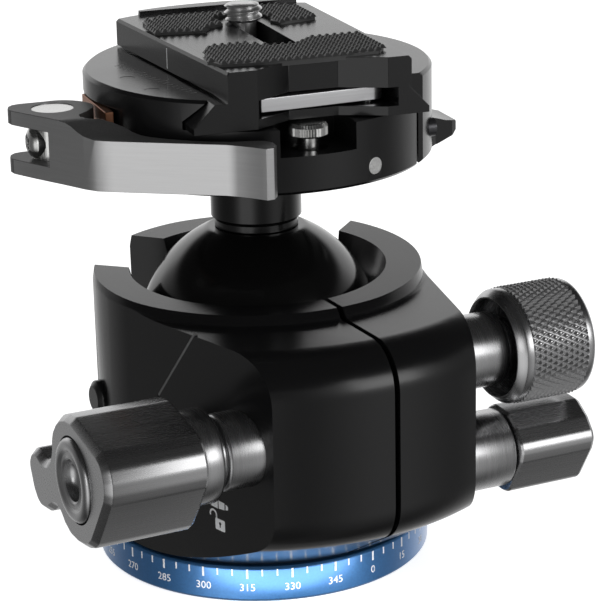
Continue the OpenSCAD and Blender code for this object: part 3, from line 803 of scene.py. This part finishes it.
def knurl(x0, x1, z, root, tip, around, step):
    """Diamond knurl between x0 and x1: rows of four-sided points, each row shifted by half."""
    parts = []
    rows = int(round((x1 - x0) / step))
    half = pi / around
    for row in range(rows + 1):
        middle = x0 + row * step
        for k in range(around):
            angle = 2 * pi * k / around + (half if row % 2 else 0)
            corners = [(middle - step, 0), (middle, -half), (middle + step, 0), (middle, half)]

            def at(x, turn, r):
                a = angle + turn
                return (held(x, x0, x1), KNOB_Y + r * cos(a), z + r * sin(a))

            low = [at(x, t, root) for x, t in corners]
            high = [at(middle + (x - middle) * 0.16, t * 0.16, tip) for x, t in corners]
            parts.append(join_rings([low, high]))
    return gather(parts)


def friction_knob():
    """Round drag knob: rolled lips, diamond knurl, deep recess round its neck."""
    z, root = FRICTION_Z, 9.1
    profile = [
        (30.3, 2.6), (30.3, 7.75), (25.3, 7.75), (25.0, 7.95), (25.0, 8.15), (25.25, 8.45), (26.1, 9.15),
        (26.35, 9.28), (27.35, 9.28), (27.55, root), (37.35, root), (37.5, 9.26), (38.2, 9.3), (38.6, 9.15),
        (38.85, 8.8), (38.9, 8.4), (38.75, 7.9), (38.75, 0),
    ]
    points, faces = turned_x(profile, z)
    solid("friction_knob_turned", points, faces, "friction_knob", TURNED_GREY, ("friction_knob",), crease=35)
    points, faces = knurl(27.6, 37.4, z, root - 0.02, 9.5, 54, 0.98)
    solid("friction_knurl", points, faces, "friction_knob", KNURL_GREY, crease=5)
    neck = [
        (16.8, 2.6), (16.8, 5.98), (24.8, 5.98), (25.15, 5.85), (25.35, 5.6), (25.4, 4.8), (27.9, 4.8),
        (27.9, 2.6),
    ]
    points, faces = turned_x(neck, z)
    solid("friction_bush_turned", points, faces, "friction_bush", TURNED_GREY, ("friction_bush",), crease=50)


def pan_knob():
    section = rounded(PAN_SECTION, 2.2)
    x0, x1 = 26.4, 40.3
    stations = [
        (x0, 0.55), (x0 + 0.12, 0.25), (x0 + 0.45, 0), (x1 - 0.7, 0), (x1 - 0.25, 0.22), (x1, 0.75),
    ]
    points, faces = join_rings(knob_rings(section, stations, PAN_Z))
    solid("pan_knob_turned", points, faces, "pan_knob", GREY, ("pan_knob",), crease=24)
    bush = [(15.4, 3.1), (15.4, 6.33), (25.8, 6.33), (26.05, 6.2), (26.1, 5.9), (26.1, 3.1)]
    points, faces = turned_x(bush, PAN_Z)
    solid("pan_bush_turned", points, faces, "pan_bush", TURNED_GREY, ("pan_bush",), crease=50)


lock_knob()
tension_dial()
lock_neck()
friction_knob()
pan_knob()


# ball, stem and clamp ------------------------------------------------------------------


def slimmer_left(p):
    """The disc's left side stands a little closer to the stem."""
    x, y = to_local(p)
    r = hypot(x, y)
    if r < 27.9:
        return p
    left = held((-x / r - 0.45) / 0.4, 0, 1)
    shrink = 1 - 1.0 * left * held((y / r + 0.75) / 0.5, 0, 1) / r
    return Vector((p.x * shrink, p.y * shrink, p.z))


def plunger():
    """Knurled head of the safety stop on its thin shank."""
    centre = to_clamp(1.3, -23, 0)[:2]
    teeth = 40
    rings = []
    levels = ((75.7, 2.7, 2.75), (75.95, 2.88, 3.1), (77.2, 2.88, 3.1), (77.75, 2.6, 2.7), (77.9, 2.4, 2.4))
    for z, root, tip in levels:
        ring = []
        for i in range(teeth * 2):
            r, a = (tip if i % 2 else root), pi * i / teeth
            ring.append((centre[0] + r * cos(a), centre[1] + r * sin(a), z))
        rings.append(ring)
    head = join_rings(rings)
    shank = turned_z([(0, 70.2), (1.55, 70.2), (1.7, 70.35), (1.7, 75.8), (0, 75.8)], centre, 32)
    points, faces = gather([head, shank])
    solid("safety_plunger_turned", points, faces, "safety_plunger", STEEL, ("safety_plunger",), crease=22)


def lever():
    """Release lever: brushed grey on the faces turned towards the camera, a darker copy on its fork and
    sides as painted shade.
    """
    tip_from, tip_blend, tip_reach = -11.8, 0.6, 1.4

    def reach(p):
        share = held((to_local(p)[0] - tip_from) / tip_blend, 0, 1)
        return p + Vector(to_clamp(tip_reach * share, 0, 0))

    piece = dressed("lever", 0.3, 30, reach)
    # faces turned towards the camera keep the lit brushed grey; all others take the darker copy, which
    # paints shade
    piece.data.materials.append(LEVER_SHADE_PAINT)
    for face in piece.data.polygons:
        out = face.normal.dot(-AWAY)
        face.material_index = 0 if out > 0.72 and abs(face.normal.z) < 0.45 else 1


def strap_bar():
    """The bar hangs a few degrees open on its pin."""
    pin = Vector(to_clamp(12, -20.6, 0))
    swing = Matrix.Rotation(radians(4), 3, "Z")
    dressed("strap_bar", 0.18, 28, lambda p: pin + swing @ (p - pin))


def land_marks():
    """Faint graduations on the land beside the plate."""
    parts = []
    land_top = 82.75
    start, stop = Vector((-21.4, 6.0)), Vector((-16.0, -18.0))
    count = int((stop - start).length / 1.4)
    side = Vector((stop.y - start.y, start.x - stop.x)).normalized()
    for i in range(count + 1):
        spot = start + (stop - start) * i / count
        reach = 1.7 if i % 5 == 0 else 1.15
        far = spot - side * reach
        along = (stop - start).normalized() * 0.07
        outline = [spot - along, spot + along, far + along, far - along]
        parts.append(prism([tuple(p) for p in outline], land_top - 0.05, land_top + 0.07))
    points, faces = gather(parts)
    solid("land_marks", points, faces, "clamp_body", SOFT_MARK)


dressed("ball", 0.1)
dressed("stem", 0.15)
dressed("clamp_body", 0.22, 26, slimmer_left)
dressed("moving_jaw", 0.25, 26)
lever()
dressed("wear_plate", 0.15)
dressed("wall_pin", 0.12)
dressed("barrel_pin", 0.15)
dressed("adjuster_head", 0.12)
dressed("plunger_seat", 0.1)
plunger()
land_marks()


# quick release plate ------------------------------------------------------------------------


PLATE_TOP, POCKET_FLOOR, SLAB_FOOT = 87.5, 87.0, 82.9
BACK_FROM, BACK_KEPT = 20.0, 0.66
SCREW = (1.8, 10.0)
NEAR_PAD = [
    (-11.6, -11.6), (-9.4, -9.2), (-3.8, -9.0), (-2.6, -12.2), (3.2, -12.4), (6.2, -10.6), (7.6, -8.6),
    (13.6, -8.6), (15.2, -10.4), (14.9, -20.4), (13.2, -23.2), (3.8, -23.8), (-5.8, -23.8), (-12.6, -22.8),
    (-13.4, -19.0),
]
SCREW_CLEAR = 4.75
SCREW_NOTCH = [
    (SCREW[0] + SCREW_CLEAR * cos(radians(a)), SCREW[1] + SCREW_CLEAR * sin(radians(a)))
    for a in range(210, -41, -10)
]
FAR_PAD = [
    (-14.3, 14.2), (-14.8, 4.6), (-7.0, 3.2), (-4.7, 6.4), *SCREW_NOTCH, (6.4, 4.6),
    (13.2, 6.2), (13.6, 16.9), (9.5, 19.6), (6.6, 18.2), (0.4, 15.8), (-0.6, 16.8), (-9.3, 17.3),
]


def shorter_back(p):
    """The back edge stands a little nearer than the CAD arc, and the pad pockets are level."""
    x, y = to_local(p)
    if abs(p.z - POCKET_FLOOR) < 0.05 and -12.5 < x < 16.4:
        return Vector((p.x, p.y, PLATE_TOP))
    if p.z < SLAB_FOOT or y < BACK_FROM:
        return p
    return Vector(to_clamp(x, BACK_FROM + (y - BACK_FROM) * BACK_KEPT, p.z))


def flared_plate():
    """The plate, with its left side running out towards the back."""
    dressed("plate", 0.2, 26, shorter_back)
    outline = [(-12.0, -26.9), (-12.8, -26.9), (-16.9, 21.1), (-14.6, 22.3), (-12.0, 23.0)]
    points, faces = prism(outline, 83.1, PLATE_TOP + 0.006, chamfer=0.45)
    solid("plate_flare", points, faces, "plate", BLACK, crease=20)


def grip_pad(node, outline):
    """Rubber pad: a slab with rows of blunt four-sided points."""
    slab = rounded(outline, 0.6, 3)
    loop = []
    for x, y in slab:
        away = Vector((x - SCREW[0], y - SCREW[1]))
        if away.length < SCREW_CLEAR:
            away = away.normalized() * SCREW_CLEAR
        loop.append((SCREW[0] + away.x, SCREW[1] + away.y))
    cx0, cx1 = min(p[0] for p in loop), max(p[0] for p in loop)
    cy0, cy1 = min(p[1] for p in loop), max(p[1] for p in loop)
    pitch, foot, top, low, high = 1.25, 0.54, 0.14, PLATE_TOP + 0.42, PLATE_TOP + 0.95
    parts = [prism(loop, PLATE_TOP - 0.45, low)]
    for i in range(int((cx1 - cx0) / pitch) + 2):
        for j in range(int((cy1 - cy0) / pitch) + 2):
            x, y = cx0 + 0.3 + i * pitch, cy0 + 0.3 + j * pitch
            if not inside(x, y, loop) or hypot(x - SCREW[0], y - SCREW[1]) < SCREW_CLEAR + 0.3:
                continue
            square = [(-1, -1), (1, -1), (1, 1), (-1, 1)]
            rings = [
                [to_clamp(x + a * foot, y + b * foot, low - 0.05) for a, b in square],
                [to_clamp(x + a * top, y + b * top, high) for a, b in square],
            ]
            parts.append(join_rings(rings))
    points, faces = gather(parts)
    solid(node + "_moulded", points, faces, node, RUBBER, (node,), crease=12)


def camera_screw():
    """The CAD screw's head and neck below a real helical thread."""
    centre = to_clamp(SCREW[0], SCREW[1], 0)[:2]
    low, high, pitch, major = 87.85, 90.5, 1.27, 3.175
    bm = bmesh.new()
    bm.from_mesh(NODES["camera_screw"].data)
    bmesh.ops.remove_doubles(bm, verts=bm.verts, dist=2e-6)
    bmesh.ops.bisect_plane(
        bm,
        geom=bm.verts[:] + bm.edges[:] + bm.faces[:],
        plane_co=(0, 0, 87.6 * MM),
        plane_no=(0, 0, 1),
        clear_outer=True,
    )
    bmesh.ops.holes_fill(bm, edges=[e for e in bm.edges if e.is_boundary])
    bmesh.ops.dissolve_limit(bm, angle_limit=radians(0.3), verts=bm.verts, edges=bm.edges)
    count, rows = 72, 64
    rings = []
    for row in range(rows + 1):
        z = low + (high - low) * row / rows
        rim = min(major, major - 0.55 + (high - z) * 1.4, major - 0.3 + (z - low) * 1.2)
        ring = []
        for i in range(count):
            phase = ((z - low) / pitch - i / count) % 1
            crest = held(abs(phase - 0.5) * 2.6 - 0.15, 0, 1)
            r = min(rim, major - 0.62 * crest)
            a = 2 * pi * i / count
            ring.append((centre[0] + r * cos(a), centre[1] + r * sin(a), z))
        rings.append(ring)
    points, faces = join_rings(rings)
    mesh = bpy.data.meshes.new("thread")
    mesh.from_pydata([tuple(c * MM for c in p) for p in points], [], faces)
    bm.from_mesh(mesh)
    bmesh.ops.recalc_face_normals(bm, faces=bm.faces)
    made = bpy.data.meshes.new("camera_screw_threaded")
    bm.to_mesh(made)
    bm.free()
    made.shade_smooth()
    made.set_sharp_from_angle(angle=radians(32))
    settle("camera_screw_threaded", made, "camera_screw", SCREW_STEEL, ("camera_screw",))


def witness_line():
    """Short line on the plate's left side that shows the lens axis."""
    x, y = -14.92, -2.0
    outline = [(x - 0.03, y - 0.13), (x + 0.4, y - 0.13), (x + 0.4, y + 0.13), (x - 0.03, y + 0.13)]
    foot, top = 83.4, 86.7
    points, faces = prism(outline, foot, top)
    solid("plate_witness_line", points, faces, "plate", PAINT)


flared_plate()
grip_pad("pad_near", NEAR_PAD)
grip_pad("pad_far", FAR_PAD)
camera_screw()
witness_line()
strap_bar()
dressed("strap_pin", 0.1)


# light and floor --------------------------------------------------------------


# how bright the room stands in gloss at each turn to the right of the camera, in degrees
ROUND_LOW = [
    (-160, 0.8), (-140, 0.35), (-120, 0.25), (-100, 0.1), (-60, 0.08), (-45, 0.5), (-34, 1.15), (-14, 1.15),
    (0, 0.3), (14, 0.12), (30, 0.22), (52, 0.62), (76, 0.26), (92, 0.12), (110, 0.3), (130, 0.8), (150, 1.0),
]
ROUND_HIGH = [
    (-165, 1.7), (-145, 1.2), (-130, 0.35), (-100, 0.1), (-60, 0.06), (-40, 0.3), (-25, 0.5), (-5, 0.1),
    (20, 0.1), (36, 0.6), (46, 1.3), (62, 1.3), (74, 0.4), (92, 0.1), (115, 0.4), (135, 1.0), (160, 1.7),
]


def studio():
    plain_level, gloss_gain, gloss_least, floor_lift = 0.6, 1.1, 0.02, 0.75
    scene = bpy.context.scene
    scene.view_settings.view_transform = "Standard"
    world = bpy.data.worlds.new("studio air")
    scene.world = world
    world.use_nodes = True
    tree = world.node_tree
    tree.nodes.clear()
    w = Wires(tree)
    out = w.add("ShaderNodeOutputWorld")
    ray = w.add("ShaderNodeLightPath")
    heading = w.add("ShaderNodeTexCoord").outputs["Generated"]

    def part_along(axis):
        dot = w.add("ShaderNodeVectorMath", operation="DOT_PRODUCT")
        w.join(heading, dot.inputs[0])
        dot.inputs[1].default_value = tuple(axis)
        return dot.outputs["Value"]

    turn = w.math("ARCTAN2", part_along(RIGHT), part_along(-AWAY))
    share = w.ramp(turn, -pi, pi, 0.0, 1.0)

    def walls(levels):
        around = w.add("ShaderNodeValToRGB")
        around.color_ramp.interpolation = "B_SPLINE"
        stops = around.color_ramp.elements
        back = levels[-1][1]
        stops[0].position, stops[0].color = 0.0, rgb(back, back, back)
        stops[1].position, stops[1].color = 1.0, rgb(back, back, back)
        for turned, level in levels:
            stop = stops.new((turned + 180) / 360)
            stop.color = rgb(level, level, level)
        w.join(share, around.inputs[0])
        return around.outputs["Color"]

    height = part_along(Vector((0, 0, 1)))
    side = w.blend(w.ramp(height, -0.12, 0.12, 0.0, 1.0), walls(ROUND_LOW), walls(ROUND_HIGH))
    above = w.ramp(height, 0.34, 0.45, 1.0, 0.0)
    below = w.ramp(height, -0.9, -0.5, 0.22, 1.0)
    shade = w.math("MULTIPLY", above, below)
    glow = w.math("MULTIPLY_ADD", w.math("MULTIPLY", side, shade), gloss_gain, gloss_least)
    plain = w.add("ShaderNodeBackground", Strength=plain_level)
    plain.inputs["Color"].default_value = rgb(1, 1, 1)
    mirror = w.add("ShaderNodeBackground")
    mirror.inputs["Color"].default_value = rgb(1, 1, 1)
    w.join(glow, mirror.inputs["Strength"])
    seen = w.add("ShaderNodeBackground", Strength=1.0)
    seen.inputs["Color"].default_value = rgb(1, 1, 1)
    inner = w.add("ShaderNodeMixShader")
    w.join(ray.outputs["Is Glossy Ray"], inner.inputs[0])
    w.join(plain.outputs[0], inner.inputs[1])
    w.join(mirror.outputs[0], inner.inputs[2])
    outer = w.add("ShaderNodeMixShader")
    w.join(ray.outputs["Is Camera Ray"], outer.inputs[0])
    w.join(inner.outputs[0], outer.inputs[1])
    w.join(seen.outputs[0], outer.inputs[2])
    w.join(outer.outputs[0], out.inputs["Surface"])

    def softbox(name, turn, reach, height, size, glow, aim=45):
        """Lamp at a turn to the right of the camera, with a face of the given radiance."""
        width, tall = size[0] * MM, size[1] * MM
        data = bpy.data.lights.new(name, "AREA")
        data.shape = "RECTANGLE"
        data.size, data.size_y = width, tall
        data.energy = glow * pi * width * tall
        lamp = bpy.data.objects.new(name, data)
        a = radians(turn)
        spot = (RIGHT * sin(a) - AWAY * cos(a)) * reach
        lamp.location = Vector((spot.x, spot.y, height)) * MM
        lamp.rotation_euler = (Vector((0, 0, aim)) * MM - lamp.location).to_track_quat("-Z", "Y").to_euler()
        scene.collection.objects.link(lamp)
        return lamp

    softbox("right front softbox", 52, 700, 250, (360, 320), 2.4)
    softbox("left front softbox", -25, 700, 150, (240, 220), 1.6)
    softbox("ring strip", 8, 32, 2.3, (42, 4.2), 3.8, aim=2.3).visible_camera = False

    bpy.ops.mesh.primitive_plane_add(size=6)
    floor_plane = bpy.context.object
    floor_plane.name = "floor"
    floor_plane.location = (0, 0, -0.00005)
    floor_plane.visible_glossy = False
    mat = bpy.data.materials.new("pale floor")
    mat.use_nodes = True
    tree = mat.node_tree
    tree.nodes.clear()
    w = Wires(tree)
    out = w.add("ShaderNodeOutputMaterial")
    body = w.add("ShaderNodeBsdfDiffuse")
    body.inputs["Color"].default_value = rgb(0.8, 0.8, 0.8)
    lift = w.add("ShaderNodeEmission")
    lift.inputs["Color"].default_value = rgb(1, 1, 1)
    ray = w.add("ShaderNodeLightPath")
    w.join(w.math("MULTIPLY", ray.outputs["Is Camera Ray"], floor_lift), lift.inputs["Strength"])
    both = w.add("ShaderNodeAddShader")
    w.join(body.outputs[0], both.inputs[0])
    w.join(lift.outputs[0], both.inputs[1])
    w.join(both.outputs[0], out.inputs["Surface"])
    floor_plane.data.materials.append(mat)


studio()
